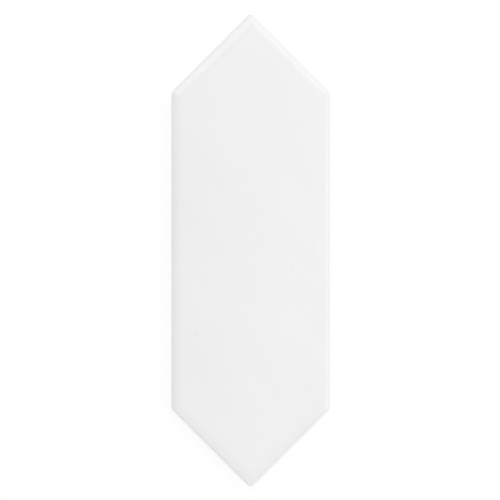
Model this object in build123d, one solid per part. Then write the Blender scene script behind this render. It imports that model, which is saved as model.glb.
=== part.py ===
from build123d import *
from math import ceil, radians, sin, tan
import os

# Elongated hexagonal wall tile, pressed from one charge of clay, glazed and fired
#
# The tile lies on its back. +Z points out of the glazed face and +Y runs along the tile
# to its sharper tip. The origin is the centre of the outline, on the plane of the back.
# All lengths are in millimetres and all angles in degrees.

# Outline of the glazed face
tile_width = 75.0  # across the two long sides
side_length = 150.0  # of each long side, between its sharp corners
tip_angle = 90.0  # between the two edges that meet at a tip
upper_tip_radius = 1.2
lower_tip_radius = 2.1
shoulder_radius = 2.5  # where a long side meets an end

# Cushioned margin of the face
thickness = 8.0
cushion_width = 6.5  # from the rim in to the flat of the face
cushion_drop = 1.8  # from the flat of the face down to the rim
crown_corner_radius = 1.9  # in the corners of the flat
rim_radius = 0.7

# Side wall
land_height = 2.6  # upright band below the rim
wall_draft = 5.0  # below the land, for the die to let go of the pressed clay
back_bevel = 0.5

# Keying relief pressed into the back
back_margin = 6.0
pocket_columns = 4
rib_width = 2.2
pocket_depth = 0.55
pocket_draft = 30.0
pocket_corner_radius = 1.5
smallest_pocket = 0.2  # least share of a whole pocket that the margin may leave

# How finely the cushion follows its curve
cushion_sections = 7

# What follows from these sizes
half_tip_angle = radians(tip_angle / 2)
half_length = side_length / 2 + tile_width / 2 / tan(half_tip_angle)

rim_height = thickness - cushion_drop
land_bottom = rim_height - land_height

back_inset = land_bottom * tan(radians(wall_draft)) + back_bevel
field_inset = back_inset + back_margin
field_width = tile_width - 2 * field_inset
pocket_size = (field_width - (pocket_columns - 1) * rib_width) / pocket_columns
pocket_pitch = pocket_size + rib_width


def tip_distance(inset):
    """From the centre to the sharp tip of the outline drawn in by inset."""
    return half_length - inset / sin(half_tip_angle)


def outline(inset, height, crown_share=0):
    """Face inside the outline that is drawn in by inset, at the given height.

    Its corners are those of the rim, or at a crown_share of 1 those of the flat of the face.
    """
    side = tile_width / 2 - inset
    tip = tip_distance(inset)
    shoulder = tip - side / tan(half_tip_angle)
    corners = {
        (0, tip): upper_tip_radius,
        (side, shoulder): shoulder_radius,
        (side, -shoulder): shoulder_radius,
        (0, -tip): lower_tip_radius,
        (-side, -shoulder): shoulder_radius,
        (-side, shoulder): shoulder_radius,
    }
    radii = [
        rim_corner + (crown_corner_radius - rim_corner) * crown_share
        for rim_corner in corners.values()
    ]
    return Pos(0, 0, height) * make_face(FilletPolyline(*corners, radius=radii, close=True))


def cushion():
    """Margin of the face: a cubic curve all round, from the steep rim up to the flat."""
    sections = []
    for section in range(cushion_sections):
        share = section / (cushion_sections - 1)
        height = thickness - cushion_drop * (1 - share) ** 3
        sections.append(outline(cushion_width * share, height, crown_share=share))
    return loft(sections)


def wall():
    """Everything below the rim: bevelled back edge, drafted wall and upright land."""
    bevel_inset = (land_bottom - back_bevel) * tan(radians(wall_draft))
    return loft(
        [
            outline(back_inset, 0),
            outline(bevel_inset, back_bevel),
            outline(0, land_bottom),
            outline(0, rim_height),
        ],
        ruled=True,
    )


def blank():
    """The tile with a plain back."""
    body = wall() + cushion()
    rim = body.edges().filter_by_position(Axis.Z, rim_height, rim_height)
    return fillet(rim, rim_radius)


def rounded(mouth):
    """The mouth with its corners rounded, and with any side too short for them drawn away."""
    core = offset(mouth, -pocket_corner_radius, kind=Kind.INTERSECTION)
    return offset(core, pocket_corner_radius, kind=Kind.ARC)


def pockets():
    """Shallow square pockets between crossing ribs, clipped to the margin of the back."""
    field = outline(field_inset, 0)
    rows = 2 * ceil(tip_distance(field_inset) / pocket_pitch)
    grid = GridLocations(pocket_pitch, pocket_pitch, pocket_columns, rows)
    for cell in grid * Rectangle(pocket_size, pocket_size):
        for mouth in (cell & field).faces():
            if mouth.area > smallest_pocket * pocket_size**2:
                yield extrude(rounded(mouth), pocket_depth, taper=pocket_draft)


wall_tile = blank() - list(pockets())

os.makedirs("parts", exist_ok=True)
export_step(wall_tile, "parts/wall_tile.step")
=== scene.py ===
from math import atan, ceil, cos, pi, radians, sin, sqrt, tan

import bpy
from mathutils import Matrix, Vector, noise
from mathutils.geometry import delaunay_2d_cdt


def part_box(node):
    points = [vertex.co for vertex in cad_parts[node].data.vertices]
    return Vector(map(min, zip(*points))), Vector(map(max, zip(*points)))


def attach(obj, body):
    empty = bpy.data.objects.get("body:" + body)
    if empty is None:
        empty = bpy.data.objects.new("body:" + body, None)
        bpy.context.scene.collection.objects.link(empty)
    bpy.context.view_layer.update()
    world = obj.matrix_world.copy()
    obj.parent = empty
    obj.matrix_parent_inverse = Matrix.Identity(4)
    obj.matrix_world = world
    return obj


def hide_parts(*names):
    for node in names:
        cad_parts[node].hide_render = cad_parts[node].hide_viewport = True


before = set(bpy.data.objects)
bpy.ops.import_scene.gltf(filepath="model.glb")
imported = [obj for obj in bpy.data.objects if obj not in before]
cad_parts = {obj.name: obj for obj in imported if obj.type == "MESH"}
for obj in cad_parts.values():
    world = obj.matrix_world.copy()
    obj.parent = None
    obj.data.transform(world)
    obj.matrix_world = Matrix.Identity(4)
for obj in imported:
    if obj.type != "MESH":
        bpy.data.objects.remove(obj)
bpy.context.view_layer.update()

# White glazed wall tile, lying on its back, seen from straight above
#
# Everything is in metres. The tile is one mesh in two materials: the glaze that covers the
# face and the upper wall, and the bare fired clay below the glaze's edge and on the back.

MM = 0.001
NODE = "wall_tile"
TOP_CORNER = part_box(NODE)[1]

# Outline, with the corner sizes that the node's box doesn't give
HALF_TIP_ANGLE = radians(45)
UPPER_TIP_RADIUS = 1.2 * MM
LOWER_TIP_RADIUS = 2.1 * MM
SHOULDER_RADIUS = 2.5 * MM
LEAST_CORNER_RADIUS = 1.0 * MM
CROWN_CORNER_RADIUS = 1.9 * MM
HALF_WIDTH = TOP_CORNER.x
HALF_LENGTH = TOP_CORNER.y + UPPER_TIP_RADIUS * (1 / sin(HALF_TIP_ANGLE) - 1)

# Section of the edge, from the flat of the face down to the back. The melted glaze rounds
# the rim more softly than the pressed clay below it.
THICKNESS = TOP_CORNER.z
CUSHION_WIDTH = 6.5 * MM
CUSHION_DROP = 1.8 * MM
RIM_RADIUS = 1.3 * MM
LAND_HEIGHT = 2.6 * MM
WALL_DRAFT = radians(5)
BACK_BEVEL = 0.5 * MM
RIM_HEIGHT = THICKNESS - CUSHION_DROP
LAND_BOTTOM = RIM_HEIGHT - LAND_HEIGHT
BACK_INSET = LAND_BOTTOM * tan(WALL_DRAFT) + BACK_BEVEL

# Waves in the face of the fired glaze. Each slice is where a wave is cut from the noise,
# so that no two waves are alike.
SWELL = 0.030 * MM
SWELL_LENGTH = 34 * MM
SWELL_SLICE = 1.7
RIPPLE = 0.008 * MM
RIPPLE_LENGTH = 11 * MM
RIPPLE_SLICE = 5.3

# Where the glaze draws off the rim, by the tilt of its surface
THINNEST_TILT = radians(60)
THIN_TILT_REACH = radians(25)

# Lower edge of the glaze, which swings up and down the wall, with short runs on the swings
GLAZE_EDGE_HEIGHT = 4.5 * MM
GLAZE_EDGE_SWING = 0.55 * MM
SWING_LENGTH = 21 * MM
SWING_SLICE = 9.1
RUN_LENGTH = 3.6 * MM
RUN_SLICE = 3.3
RUN_SHARE = 0.35

# The bead that the glaze ends in, and how fast the stray glaze below it thins out
GLAZE_DEPTH = 0.13 * MM
BEAD_HEIGHT = 0.35 * MM
STRAY_GLAZE_FADE = 6

# Keying relief in the back. A pocket that the outline cuts down to less than the smallest
# share of a whole one is left out.
BACK_MARGIN = 6.0 * MM
POCKET_COLUMNS = 4
RIB_WIDTH = 2.2 * MM
POCKET_DEPTH = 0.55 * MM
POCKET_DRAFT = radians(30)
POCKET_CORNER_RADIUS = 1.5 * MM
POCKET_LIP_RADIUS = 0.16 * MM
SHORTEST_POCKET_SIDE = 1.0 * MM
SMALLEST_POCKET_SHARE = 0.2
FIELD_INSET = BACK_INSET + BACK_MARGIN
POCKET_SIZE = (2 * (HALF_WIDTH - FIELD_INSET) - (POCKET_COLUMNS - 1) * RIB_WIDTH) / POCKET_COLUMNS
POCKET_PITCH = POCKET_SIZE + RIB_WIDTH

# How finely the mesh is divided, and how closely its places are worked out
EDGE_SPACING = 0.75 * MM
FACE_SPACING = 1.5 * MM
POCKET_SPACING = 2.2 * MM
ARC_STEPS = 10
POCKET_ARC_STEPS = 5
CUSHION_STEPS = 16
RIM_STEPS = 8
LAND_STEPS = 4
BEAD_STEPS = 4
BARE_WALL_STEPS = 6
BEVEL_STEPS = 5
LIP_STEPS = 3
TOUCH_ROUNDS = 30
SAME_PLACE = 1e-7

# Numbers of the two materials in the mesh
GLAZE = 0
CLAY = 1

# Asks the triangulation for the triangles inside its loops only
INSIDE_LOOPS = 1

# Sides of a convex outline, anticlockwise: the angle of the outward normal and the
# distance from the origin
END_DISTANCE = HALF_LENGTH * sin(HALF_TIP_ANGLE)
OUTLINE = [
    (0, HALF_WIDTH),
    (HALF_TIP_ANGLE, END_DISTANCE),
    (pi - HALF_TIP_ANGLE, END_DISTANCE),
    (pi, HALF_WIDTH),
    (pi + HALF_TIP_ANGLE, END_DISTANCE),
    (2 * pi - HALF_TIP_ANGLE, END_DISTANCE),
]
ENDS = [side for side in OUTLINE if side[1] == END_DISTANCE]
CORNER_RADII = [
    SHOULDER_RADIUS,
    UPPER_TIP_RADIUS,
    SHOULDER_RADIUS,
    SHOULDER_RADIUS,
    LOWER_TIP_RADIUS,
    SHOULDER_RADIUS,
]


# Outlines and rings of points

def meet(side, other, inset=0):
    """Where two sides cross when both are drawn in by inset."""
    (first, reach), (second, other_reach) = side, other
    reach -= inset
    other_reach -= inset
    turn = sin(second - first)
    return Vector((
        (reach * sin(second) - other_reach * sin(first)) / turn,
        (other_reach * cos(first) - reach * cos(second)) / turn,
    ))


def around(items):
    """Each item of a closed round with the one after it."""
    return zip(items, items[1:] + items[:1])


def side_lengths(sides):
    """Length of each side, negative where its neighbours cross before they reach it."""
    corners = [meet(side, other) for side, other in around(sides)]
    lengths = []
    for k, (angle, _) in enumerate(sides):
        along = Vector((-sin(angle), cos(angle)))
        lengths.append((corners[k] - corners[k - 1]).dot(along))
    return lengths


def polygon_area(sides):
    """Area inside the sides: the triangles from the origin to each of them."""
    return sum(reach * length / 2 for (_, reach), length in zip(sides, side_lengths(sides)))


def ring(sides, inset, radii, arc_steps, spacing):
    """Points round an outline drawn in by inset, each with its outward direction.

    A ring has as many points at every inset, so that rings can be joined point to point.
    """
    run_steps = [ceil(length / spacing) for length in side_lengths(sides)]
    centres = []
    for (side, other), radius in zip(around(sides), radii):
        centres.append(meet(side, other, inset + radius))
    points = []
    for k, centre in enumerate(centres):
        follower = (k + 1) % len(sides)
        start, end = sides[k][0], sides[follower][0]
        if end < start:
            end += 2 * pi
        for step in range(arc_steps + 1):
            angle = start + (end - start) * step / arc_steps
            outward = Vector((cos(angle), sin(angle)))
            points.append((centre + radii[k] * outward, outward))
        first = centre + radii[k] * outward
        last = centres[follower] + radii[follower] * outward
        for step in range(1, run_steps[follower]):
            points.append((first.lerp(last, step / run_steps[follower]), outward))
    return points


# Mesh

class Skin:
    """Vertices and faces of one mesh, gathered ring by ring."""

    def __init__(self):
        self.vertices = []
        self.faces = []
        self.materials = []
        self.thin_glaze = []
        self.stray_glaze = []

    def add_vertices(self, points, thin_glaze=0.0, stray_glaze=0.0):
        """Adds points and returns their numbers.

        thin_glaze is the share of the glaze that has drawn off there, and stray_glaze the
        share of bare clay that a haze of glaze has settled on.
        """
        start = len(self.vertices)
        self.vertices += points
        self.thin_glaze += [thin_glaze] * len(points)
        self.stray_glaze += [stray_glaze] * len(points)
        return list(range(start, len(self.vertices)))

    def bridge(self, upper, lower, material):
        """Joins two rings of equally many vertices, which run anticlockwise seen from above."""
        for (a, b), (c, d) in zip(around(upper), around(lower)):
            self.faces.append((a, c, d, b))
            self.materials.append(material)

    def bridge_all(self, rings, material):
        """Joins each ring to the next one."""
        for upper, lower in zip(rings, rings[1:]):
            self.bridge(upper, lower, material)

    def fill(self, outer, holes, material, upward, inside=(), height=None):
        """Fills the area between the outer ring and the holes with triangles.

        They also pass through the places inside, each at the height that height gives it.
        """
        numbers = list(outer)
        loops = [list(range(len(outer)))]
        for hole in holes:
            loops.append(list(range(len(numbers), len(numbers) + len(hole))))
            numbers += hole
        places = [Vector(self.vertices[number][:2]) for number in numbers] + list(inside)
        numbers += self.add_vertices([Vector((*place, height(place))) for place in inside])
        result = delaunay_2d_cdt(places, [], loops, INSIDE_LOOPS, SAME_PLACE)
        _, _, triangles, merged, _, within = result
        for triangle, loops_round_it in zip(triangles, within):
            # The outer loop alone: a triangle in a hole has the hole's loop round it as well
            if loops_round_it == [0]:
                face = [numbers[merged[corner][0]] for corner in triangle]
                self.faces.append(face if upward else face[::-1])
                self.materials.append(material)


# Waves of the glaze

def wave(point, length, cut):
    """Smooth noise from -1 to 1 with features about as wide as length, from the slice at cut."""
    place = Vector((point[0], point[1], 0)) / length
    place.z = cut
    return noise.noise(place)


# Face, cushion and rim

def face_dent(point):
    """How far the fired glaze lies below a true surface: broad swells and finer ripples."""
    swell = 0.5 + 0.5 * wave(point, SWELL_LENGTH, SWELL_SLICE)
    ripple = 0.5 + 0.5 * wave(point, RIPPLE_LENGTH, RIPPLE_SLICE)
    return SWELL * swell + RIPPLE * ripple


def crown_ring(inset):
    """Ring of the cushion, whose corners soften towards its crown."""
    share = inset / CUSHION_WIDTH
    radii = [radius + (CROWN_CORNER_RADIUS - radius) * share for radius in CORNER_RADII]
    return ring(OUTLINE, inset, radii, ARC_STEPS, EDGE_SPACING)


def cushion_height(inset):
    """The margin falls as a cubic, so it leaves the flat of the face without a line."""
    return THICKNESS - CUSHION_DROP * (1 - inset / CUSHION_WIDTH) ** 3


def cushion_tilt(inset):
    """Angle between the cushion and the flat of the face."""
    return atan(3 * CUSHION_DROP / CUSHION_WIDTH * (1 - inset / CUSHION_WIDTH) ** 2)


def rim_touch():
    """Inset at which the rim's small arc touches the cushion."""
    inset = 0.0
    for _ in range(TOUCH_ROUNDS):
        inset = RIM_RADIUS * (1 - sin(cushion_tilt(inset)))
    return inset


def crown_rows():
    """Inset, height and tilt down the cushion and round the rim, to the upright wall."""
    touch = rim_touch()
    rows = []
    for step in range(CUSHION_STEPS):
        inset = CUSHION_WIDTH + (touch - CUSHION_WIDTH) * step / CUSHION_STEPS
        rows.append((inset, cushion_height(inset), cushion_tilt(inset)))
    start = cushion_tilt(touch)
    centre_height = cushion_height(touch) - RIM_RADIUS * cos(start)
    for step in range(RIM_STEPS + 1):
        tilt = start + (pi / 2 - start) * step / RIM_STEPS
        rows.append((RIM_RADIUS * (1 - sin(tilt)), centre_height + RIM_RADIUS * cos(tilt), tilt))
    return rows


def rim_thinness(tilt):
    """Share of the glaze that has drawn off the rim, which is most half way round it."""
    return max(0.0, 1 - abs(tilt - THINNEST_TILT) / THIN_TILT_REACH)


def build_face(skin):
    """Flat of the face, cushion and rim. Returns the ring at the top of the wall."""
    rings = []
    for inset, height, tilt in crown_rows():
        points = []
        for place, outward in crown_ring(inset):
            dent = face_dent(place)
            flat = place - outward * dent * sin(tilt)
            points.append(Vector((*flat, height - dent * cos(tilt))))
        rings.append(skin.add_vertices(points, thin_glaze=rim_thinness(tilt)))
    skin.bridge_all(rings, GLAZE)
    skin.fill(rings[0], [], GLAZE, upward=True, inside=flat_points(), height=flat_height)
    return rings[-1]


def flat_height(place):
    """Height of the fired glaze over the flat of the face."""
    return THICKNESS - face_dent(place)


def flat_points():
    """Points of a grid of even triangles over the flat of the face, clear of its outline."""
    inset = CUSHION_WIDTH + FACE_SPACING / 2
    row_spacing = FACE_SPACING * sqrt(3) / 2
    rows = ceil(HALF_LENGTH / row_spacing)
    columns = ceil(HALF_WIDTH / FACE_SPACING)
    points = []
    for row in range(-rows, rows + 1):
        for column in range(-columns, columns + 1):
            point = Vector(((column + 0.5 * (row % 2)) * FACE_SPACING, row * row_spacing))
            if inside_outline(point, inset):
                points.append(point)
    return points


def inside_outline(point, inset):
    """Whether the point lies inside the outline drawn in by inset."""
    return all(
        point.x * cos(angle) + point.y * sin(angle) < reach - inset for angle, reach in OUTLINE
    )


# Wall

def glaze_edge(point):
    """Height on the wall where the glaze ends: slow swings with short runs on them."""
    swing = wave(point, SWING_LENGTH, SWING_SLICE)
    run = wave(point, RUN_LENGTH, RUN_SLICE)
    return GLAZE_EDGE_HEIGHT + GLAZE_EDGE_SWING * ((1 - RUN_SHARE) * swing + RUN_SHARE * run)


def wall_inset(height):
    """How far the wall has drawn in at a height: drafted below the upright land."""
    return max(0, LAND_BOTTOM - height) * tan(WALL_DRAFT)


def wall_ring(skin, heights, depth, stray_glaze=0.0):
    """Ring of the wall, with a height for each place, set back by depth from the CAD's wall.

    The wall's draft is taken at the mean of the heights.
    """
    inset = depth + wall_inset(sum(heights) / len(heights))
    radii = [max(radius - inset, min(radius, LEAST_CORNER_RADIUS)) for radius in CORNER_RADII]
    places = [place for place, _ in ring(OUTLINE, inset, radii, ARC_STEPS, EDGE_SPACING)]
    points = [Vector((*place, height)) for place, height in zip(places, heights)]
    return skin.add_vertices(points, stray_glaze=stray_glaze)


def between(starts, ends, share):
    """Values part of the way from each start to its end."""
    return [start + (end - start) * share for start, end in zip(starts, ends)]


def quarter_turn(steps):
    """Shares of the depth and of the height left, round a quarter of an ellipse."""
    angles = [pi / 2 * step / steps for step in range(steps + 1)]
    return [(1 - cos(angle), 1 - sin(angle)) for angle in angles]


def glazed_rings(skin, top_ring, edges):
    """Rings down the glazed land and round the bead that the glaze ends in."""
    tops = [skin.vertices[number].z for number in top_ring]
    bead_tops = [edge + BEAD_HEIGHT for edge in edges]
    rings = [top_ring]
    for step in range(1, LAND_STEPS):
        rings.append(wall_ring(skin, between(tops, bead_tops, step / LAND_STEPS), 0))
    for run, rise in quarter_turn(BEAD_STEPS):
        heights = between(edges, bead_tops, rise)
        rings.append(wall_ring(skin, heights, GLAZE_DEPTH * run, stray_glaze=1))
    return rings


def bare_rings(skin, top_ring, edges):
    """Rings down the bare drafted wall and round the bevel to the back.

    They lie closer together just below the bead, where the haze of stray glaze fades.
    """
    bevel_tops = [BACK_BEVEL] * len(edges)
    rings = [top_ring]
    for step in range(1, BARE_WALL_STEPS + 1):
        share = (step / BARE_WALL_STEPS) ** 2
        haze = (1 - share) ** STRAY_GLAZE_FADE
        rings.append(wall_ring(skin, between(edges, bevel_tops, share), GLAZE_DEPTH, haze))
    wall_foot = wall_inset(BACK_BEVEL) + GLAZE_DEPTH
    for run, rise in quarter_turn(BEVEL_STEPS)[1:]:
        height = BACK_BEVEL * rise
        inset = wall_foot + (BACK_INSET - wall_foot) * run
        rings.append(wall_ring(skin, [height] * len(edges), inset - wall_inset(height)))
    return rings


def build_wall(skin, top_ring):
    """Glazed and bare parts of the wall. Returns the ring at the foot of its bevel."""
    edges = [glaze_edge(skin.vertices[number]) for number in top_ring]
    glazed = glazed_rings(skin, top_ring, edges)
    bare = bare_rings(skin, glazed[-1], edges)
    skin.bridge_all(glazed, GLAZE)
    skin.bridge_all(bare, CLAY)
    return bare[-1]


# Back

def pocket_sides(x, y):
    """Sides of the pocket centred there: its square, cut by an end of the field, or none."""
    half = POCKET_SIZE / 2
    sides = [(0, x + half), (pi / 2, y + half), (pi, half - x), (3 * pi / 2, half - y)]
    for angle, reach in ENDS:
        middle = x * cos(angle) + y * sin(angle)
        spread = half * (abs(cos(angle)) + abs(sin(angle)))
        if middle - spread >= reach - FIELD_INSET:
            return []
        if middle + spread > reach - FIELD_INSET:
            sides.append((angle, reach - FIELD_INSET))
    sides.sort()
    while min(side_lengths(sides)) < SHORTEST_POCKET_SIDE and len(sides) > 3:
        lengths = side_lengths(sides)
        sides.pop(lengths.index(min(lengths)))
    if polygon_area(sides) < SMALLEST_POCKET_SHARE * POCKET_SIZE**2:
        return []
    return sides


def pocket_rows():
    """Inset and depth from the rib's top over the rounded lip and down to the pocket's floor."""
    slope = pi / 2 - POCKET_DRAFT
    lip_reach = POCKET_LIP_RADIUS * tan(slope / 2)
    floor_inset = POCKET_DEPTH * tan(POCKET_DRAFT)
    rows = []
    for step in range(LIP_STEPS + 1):
        angle = slope * step / LIP_STEPS
        inset = POCKET_LIP_RADIUS * sin(angle) - lip_reach
        rows.append((inset, POCKET_LIP_RADIUS * (1 - cos(angle))))
    for inset, depth in rows[::-1]:
        rows.append((floor_inset - inset, POCKET_DEPTH - depth))
    return rows


def build_back(skin, outer_ring):
    """Margin, ribs and pockets of the back."""
    mouths = []
    rows = ceil((HALF_LENGTH - FIELD_INSET) / POCKET_PITCH)
    for column in range(POCKET_COLUMNS):
        x = (column - (POCKET_COLUMNS - 1) / 2) * POCKET_PITCH
        for row in range(-rows, rows):
            sides = pocket_sides(x, (row + 0.5) * POCKET_PITCH)
            if sides:
                mouths.append(build_pocket(skin, sides))
    skin.fill(outer_ring, mouths, CLAY, upward=False)


def build_pocket(skin, sides):
    """One pocket, with rounded corners and lips. Returns the ring round its mouth."""
    rings = []
    for inset, depth in pocket_rows():
        radii = [POCKET_CORNER_RADIUS - inset] * len(sides)
        places = ring(sides, inset, radii, POCKET_ARC_STEPS, POCKET_SPACING)
        rings.append(skin.add_vertices([Vector((*place, depth)) for place, _ in places]))
    skin.bridge_all(rings, CLAY)
    skin.fill(rings[-1], [], CLAY, upward=False)
    return rings[0]


# Whole tile

def add_object(name, data):
    """Adds an object with the data to the scene."""
    made = bpy.data.objects.new(name, data)
    bpy.context.scene.collection.objects.link(made)
    return made


def build_tile():
    """The whole tile, from its face round the wall to its back."""
    skin = Skin()
    back_ring = build_wall(skin, build_face(skin))
    build_back(skin, back_ring)
    mesh = bpy.data.meshes.new("tile")
    mesh.from_pydata([tuple(vertex) for vertex in skin.vertices], [], skin.faces)
    mesh.materials.append(glaze_material())
    mesh.materials.append(clay_material())
    mesh.polygons.foreach_set("material_index", skin.materials)
    for name, values in (("thin_glaze", skin.thin_glaze), ("stray_glaze", skin.stray_glaze)):
        mesh.attributes.new(name, "FLOAT", "POINT").data.foreach_set("value", values)
    mesh.shade_smooth()
    mesh.validate()
    tile = add_object("tile", mesh)
    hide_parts(NODE)
    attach(tile, "root")


# Colours: the share of light that comes back, and how far it leans to the warm side
GLAZE_WHITE = (0.877, 0)
# The glaze's darker clouds, partly its own tone and partly painted shade
GLAZE_CLOUD_AND_SHADE = (0.855, 0)
THIN_GLAZE = (0.82, 0.008)
SPECKED_GLAZE = (0.840, 0.004)
CLAY_LIGHT = (0.79, 0.03)
CLAY_DARK = (0.70, 0.045)
CLAY_POWDER = (0.82, 0.03)
# Painted shade in the pits of the clay
PAINTED_PORE_SHADE = (0.48, 0.07)
STRAY_GLAZE = (0.86, 0.004)
BLUE_LOSS = 2.2

# Two faint, soft darker spots in the glaze, by their places on the face
SPECKS = [(-25.8 * MM, -39.7 * MM), (19.5 * MM, -7.8 * MM)]
SPECK_RADIUS = 1.6 * MM

# Glaze, with the sizes of its clouds, of the patches of its sheen and of its finest ripples.
# The clouds are partly the glaze's own uneven tone and partly painted shade: they are
# stretched, turned and cut so that they lay a broad painted shade over parts of the face.
GLAZE_CLOUD_SIZE = 24 * MM
GLAZE_CLOUD_RANGE = (0.3, 0.7)
GLAZE_CLOUD_SLICE = 120 * MM
CLOUD_ANGLE = radians(-60)
CLOUD_STRETCH = (2.5, 1, 1)
SHEEN_SIZE = 8 * MM
FINE_RIPPLE_SIZE = 2.6 * MM
GLAZE_RELIEF = 0.004 * MM
GLAZE_ROUGHNESS = (0.08, 0.13)
GLAZE_IOR = 1.52

# Bare clay, with the sizes of its stains and grains and of the marks that the die left.
# The largest pore's radius is a share of the pores' spacing, and its slope is a share of
# that radius.
STAIN_SIZE = 16 * MM
GRAIN_SIZE = 0.45 * MM
POWDER_GRAINS = (0.35, 0.65)
MOST_POWDER = 0.35
PORE_SPACING = 0.9 * MM
PORE_SHARE = 0.3
LARGEST_PORE = 0.28
PORE_SLOPE_SHARE = 0.3
# How far the pits are darkened: painted shade in them
PORE_SHADE_STRENGTH = 0.6
PRESS_MARK_WIDTH = 0.3 * MM
PRESS_MARK_STRETCH = (1, 1, 12.5)
CLAY_RELIEF = 0.025 * MM
CLAY_ROUGHNESS = 0.9

# Haze of stray glaze on the clay, broken up by speckle
SPECKLE_SIZE = 0.7 * MM
HAZE_RANGE = (0.75, 1.35)
HAZE_ROUGHNESS = 0.45


# Shader nodes

def grey(level, warmth=0):
    """A near-grey colour. A warm one loses some green, and BLUE_LOSS times as much blue."""
    return (level, level * (1 - warmth), level * (1 - BLUE_LOSS * warmth), 1)


def plug(tree, value, socket):
    """Sets a socket to a value, or links it to the socket that is given."""
    if isinstance(value, bpy.types.NodeSocket):
        tree.links.new(value, socket)
    else:
        socket.default_value = value


def add(tree, kind, settings=None, **inputs):
    """Adds a shader node. Inputs are values or sockets, with _ for a space in their names."""
    made = tree.nodes.new("ShaderNode" + kind)
    for name, value in (settings or {}).items():
        setattr(made, name, value)
    for name, value in inputs.items():
        plug(tree, value, made.inputs[name.replace("_", " ")])
    return made


def calculate(tree, operation, *values):
    """One sum on values or sockets."""
    made = add(tree, "Math", {"operation": operation})
    for value, socket in zip(values, made.inputs):
        plug(tree, value, socket)
    return made.outputs["Value"]


def rescale(tree, value, old, new=(0.0, 1.0), interpolation="LINEAR"):
    """Carries a value over from the old range to the new one, and stops it at the ends."""
    ranges = {"From_Min": old[0], "From_Max": old[1], "To_Min": new[0], "To_Max": new[1]}
    made = add(tree, "MapRange", {"interpolation_type": interpolation}, Value=value, **ranges)
    return made.outputs["Result"]


def distance_between(tree, place, point):
    """How far a place is from a point."""
    made = add(tree, "VectorMath", {"operation": "DISTANCE"})
    plug(tree, place, made.inputs[0])
    plug(tree, point, made.inputs[1])
    return made.outputs["Value"]


def mix(tree, share, first, second):
    """The colour part of the way from the first to the second."""
    return add(tree, "MixRGB", Fac=share, Color1=first, Color2=second).outputs["Color"]


def clouds(tree, place, size, detail=2, roughness=0.5):
    """Noise about 0.5 with features of about that size."""
    made = add(tree, "TexNoise", Vector=place, Scale=1 / size, Detail=detail, Roughness=roughness)
    return made.outputs["Fac"]


def drawn_out(tree, place, stretch, angle=0.0, height=0.0):
    """The place that noise is read at, so that its features are stretched along each axis.

    The axes are turned about Z by the angle, and the noise is raised by the height.
    """
    made = add(
        tree,
        "Mapping",
        {"vector_type": "TEXTURE"},
        Vector=place,
        Location=(0, 0, height),
        Rotation=(0, 0, angle),
        Scale=stretch,
    )
    return made.outputs["Vector"]


def attribute(tree, name):
    """A value that the mesh holds for each of its vertices."""
    return add(tree, "Attribute", {"attribute_name": name}).outputs["Fac"]


def new_material(name):
    """An empty node material, its tree, its output node and the place on the object."""
    material = bpy.data.materials.new(name)
    material.use_nodes = True
    tree = material.node_tree
    tree.nodes.clear()
    return material, tree, add(tree, "OutputMaterial"), add(tree, "TexCoord").outputs["Object"]


# Glaze and clay

def glaze_specks(tree, place):
    """1 in the middle of each speck of the face, and 0 clear of them all."""
    nearest = SPECK_RADIUS
    for x, y in SPECKS:
        away = distance_between(tree, place, (x, y, THICKNESS))
        nearest = calculate(tree, "MINIMUM", nearest, away)
    return rescale(tree, nearest, (SPECK_RADIUS, 0.0), interpolation="SMOOTHSTEP")


def clay_pores(tree, place):
    """1 inside the small round pores, which a share of the cells of a noise have."""
    cells = add(tree, "TexVoronoi", Vector=place, Scale=1 / PORE_SPACING)
    chance = add(tree, "SeparateColor", Color=cells.outputs["Color"]).outputs["Red"]
    radius = rescale(tree, chance, (1 - PORE_SHARE, 1.0), (0.0, LARGEST_PORE))
    depth = calculate(tree, "SUBTRACT", radius, cells.outputs["Distance"])
    return rescale(tree, depth, (0.0, PORE_SLOPE_SHARE * LARGEST_PORE))


def glaze_material():
    """White gloss glaze: faintly clouded, partly with painted shade, finely rippled, and thinner
    round the rim.
    """
    material, tree, output, place = new_material("white_glaze")
    # Clouds in the glaze's tone, partly painted shade laid broadly over the face
    cloud_place = drawn_out(tree, place, CLOUD_STRETCH, CLOUD_ANGLE, GLAZE_CLOUD_SLICE)
    cloud_and_shade = rescale(tree, clouds(tree, cloud_place, GLAZE_CLOUD_SIZE, detail=3), GLAZE_CLOUD_RANGE)
    colour = mix(tree, cloud_and_shade, grey(*GLAZE_CLOUD_AND_SHADE), grey(*GLAZE_WHITE))
    colour = mix(tree, glaze_specks(tree, place), colour, grey(*SPECKED_GLAZE))
    colour = mix(tree, attribute(tree, "thin_glaze"), colour, grey(*THIN_GLAZE))
    roughness = rescale(tree, clouds(tree, place, SHEEN_SIZE), (0, 1), GLAZE_ROUGHNESS)
    ripple = clouds(tree, place, FINE_RIPPLE_SIZE, roughness=0.4)
    bump = add(tree, "Bump", Height=ripple, Distance=GLAZE_RELIEF)
    shader = add(
        tree,
        "BsdfPrincipled",
        Base_Color=colour,
        Roughness=roughness,
        IOR=GLAZE_IOR,
        Normal=bump.outputs["Normal"],
    )
    plug(tree, shader.outputs["BSDF"], output.inputs["Surface"])
    return material


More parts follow.
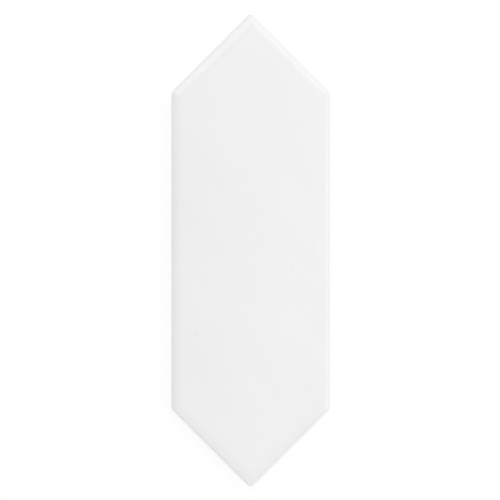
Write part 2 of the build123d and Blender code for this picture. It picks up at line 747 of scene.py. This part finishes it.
def clay_material():
    """Bare fired clay: matte off-white, mottled and pitted, with painted shade in the pits, press
    marks and stray glaze.
    """
    material, tree, output, place = new_material("fired_clay")
    stains = clouds(tree, place, STAIN_SIZE, detail=5, roughness=0.6)
    grain = clouds(tree, place, GRAIN_SIZE, detail=4, roughness=0.7)
    powder = rescale(tree, grain, POWDER_GRAINS, (0.0, MOST_POWDER))
    pores = clay_pores(tree, place)
    # The pits are darkened as painted shade, on top of the bump that sinks them
    painted_pore_shade = calculate(tree, "MULTIPLY", pores, PORE_SHADE_STRENGTH)
    colour = mix(tree, stains, grey(*CLAY_DARK), grey(*CLAY_LIGHT))
    colour = mix(tree, powder, colour, grey(*CLAY_POWDER))
    colour = mix(tree, painted_pore_shade, colour, grey(*PAINTED_PORE_SHADE))

    speckle = clouds(tree, place, SPECKLE_SIZE, detail=3, roughness=0.7)
    haze = calculate(tree, "ADD", attribute(tree, "stray_glaze"), speckle)
    haze = rescale(tree, haze, HAZE_RANGE)
    colour = mix(tree, haze, colour, grey(*STRAY_GLAZE))
    roughness = rescale(tree, haze, (0, 1), (CLAY_ROUGHNESS, HAZE_ROUGHNESS))

    upright = drawn_out(tree, place, PRESS_MARK_STRETCH)
    press_marks = clouds(tree, upright, PRESS_MARK_WIDTH, detail=3, roughness=0.6)
    relief = calculate(tree, "ADD", grain, press_marks)
    relief = calculate(tree, "SUBTRACT", relief, pores)
    bump = add(tree, "Bump", Height=relief, Distance=CLAY_RELIEF)
    shader = add(
        tree,
        "BsdfPrincipled",
        Base_Color=colour,
        Roughness=roughness,
        Normal=bump.outputs["Normal"],
    )
    plug(tree, shader.outputs["BSDF"], output.inputs["Surface"])
    return material


# Camera: straight above, framed as in the 500 pixel photograph, whose pixels are counted
# from its upper left corner
PHOTO_WIDTH_PX = 500
PHOTO_TILE_LENGTH_PX = 474.8
PHOTO_TILE_CENTRE_PX = (250.45, 250.66)
LENS_MM = 200
SENSOR_MM = 36


def build_camera():
    """Straight above the tile, at the distance that gives it its length in the photograph."""
    pixel = 2 * HALF_LENGTH / PHOTO_TILE_LENGTH_PX
    distance = pixel * PHOTO_WIDTH_PX * LENS_MM / SENSOR_MM
    data = bpy.data.cameras.new("camera")
    data.lens = LENS_MM
    data.sensor_width = SENSOR_MM
    data.clip_start = 0.01
    data.clip_end = 100
    camera = add_object("camera", data)
    middle = PHOTO_WIDTH_PX / 2
    camera.location = (
        -(PHOTO_TILE_CENTRE_PX[0] - middle) * pixel,
        (PHOTO_TILE_CENTRE_PX[1] - middle) * pixel,
        RIM_HEIGHT + distance,
    )
    bpy.context.scene.camera = camera


# Floor. Where it is seen it mostly glows white, but near the tile a part of its light is
# left to its paint, which takes the tile's shadow. Far off it fades into the backdrop.
FLOOR_HALF_SIZE = 6.0
FLOOR_DROP = 0.02 * MM
FLOOR_PAINT = 0.95
FLOOR_WHITE = 1.03
NEAR_FLOOR_GLOW = 0.80
NEAR_FLOOR_RADIUS = 0.18
FAR_FLOOR_RADIUS = 1.2

# World, which lights the tile with one strength and is seen with the other
WORLD_STRENGTH = 0.614
BACKDROP_WHITE = 0.85


def seen_directly(tree):
    """1 for rays that show the ground itself: camera, mirror and see-through rays."""
    path = add(tree, "LightPath")
    mirrored = calculate(
        tree, "MAXIMUM", path.outputs["Is Glossy Ray"], path.outputs["Is Transmission Ray"]
    )
    return calculate(tree, "MAXIMUM", path.outputs["Is Camera Ray"], mirrored)


def floor_material():
    """White paint, mixed with a white glow where the floor is seen directly."""
    material, tree, output, place = new_material("floor")
    away = distance_between(tree, place, (0, 0, 0))
    near_to_far = (NEAR_FLOOR_RADIUS, FAR_FLOOR_RADIUS)
    glow_share = rescale(tree, away, near_to_far, (NEAR_FLOOR_GLOW, 1.0), "SMOOTHSTEP")
    glow_share = calculate(tree, "MULTIPLY", seen_directly(tree), glow_share)
    white = rescale(tree, away, near_to_far, (FLOOR_WHITE, BACKDROP_WHITE), "SMOOTHSTEP")
    paint = add(tree, "BsdfDiffuse", Color=grey(FLOOR_PAINT))
    glow = add(tree, "Emission", Color=grey(1), Strength=white)
    mixed = add(tree, "MixShader", Fac=glow_share)
    plug(tree, paint.outputs["BSDF"], mixed.inputs[1])
    plug(tree, glow.outputs["Emission"], mixed.inputs[2])
    plug(tree, mixed.outputs["Shader"], output.inputs["Surface"])
    return material


def build_floor():
    """A plain square floor, just under the tile."""
    mesh = bpy.data.meshes.new("floor")
    size = FLOOR_HALF_SIZE
    corners = [(-size, -size, 0), (size, -size, 0), (size, size, 0), (-size, size, 0)]
    mesh.from_pydata(corners, [], [(0, 1, 2, 3)])
    mesh.materials.append(floor_material())
    floor = add_object("floor", mesh)
    floor.location.z = -FLOOR_DROP


def build_world():
    """Even soft light from all round, and a plain pale backdrop where it is seen directly."""
    world = bpy.data.worlds.new("studio")
    world.use_nodes = True
    tree = world.node_tree
    tree.nodes.clear()
    level = rescale(tree, seen_directly(tree), (0, 1), (WORLD_STRENGTH, BACKDROP_WHITE))
    light = add(tree, "Background", Color=grey(1), Strength=level)
    output = add(tree, "OutputWorld")
    plug(tree, light.outputs["Background"], output.inputs["Surface"])
    bpy.context.scene.world = world


def build_lamp(name, azimuth, elevation, distance, size, power):
    """A square soft lamp aimed at the tile. Azimuth is anticlockwise from +X."""
    data = bpy.data.lights.new(name, "AREA")
    data.size = size
    data.energy = power
    lamp = add_object(name, data)
    a, e = radians(azimuth), radians(elevation)
    lamp.location = distance * Vector((cos(a) * cos(e), sin(a) * cos(e), sin(e)))
    lamp.rotation_mode = "QUATERNION"
    lamp.rotation_quaternion = lamp.location.to_track_quat("Z", "Y")
    lamp.visible_camera = False


def build_lamps():
    """Broad, dim lamps. The sloping sides of the glaze mirror them, each with its own shade."""
    build_lamp("key", azimuth=60, elevation=35, distance=1.0, size=0.9, power=1.88)
    build_lamp("back_left", azimuth=120, elevation=48, distance=1.0, size=0.6, power=1.36)
    build_lamp("back_left_low", azimuth=120, elevation=25, distance=1.0, size=0.5, power=0.35)
    build_lamp("front_left", azimuth=240, elevation=35, distance=1.0, size=0.9, power=1.24)
    build_lamp("front_right", azimuth=330, elevation=35, distance=1.0, size=0.5, power=1.33)
    build_lamp("right_low", azimuth=0, elevation=30, distance=0.6, size=0.3, power=0.23)
    build_lamp("overhead", azimuth=0, elevation=80, distance=1.5, size=0.6, power=0.60)


build_tile()
build_camera()
build_floor()
build_world()
build_lamps()
bpy.context.scene.view_settings.view_transform = "Standard"
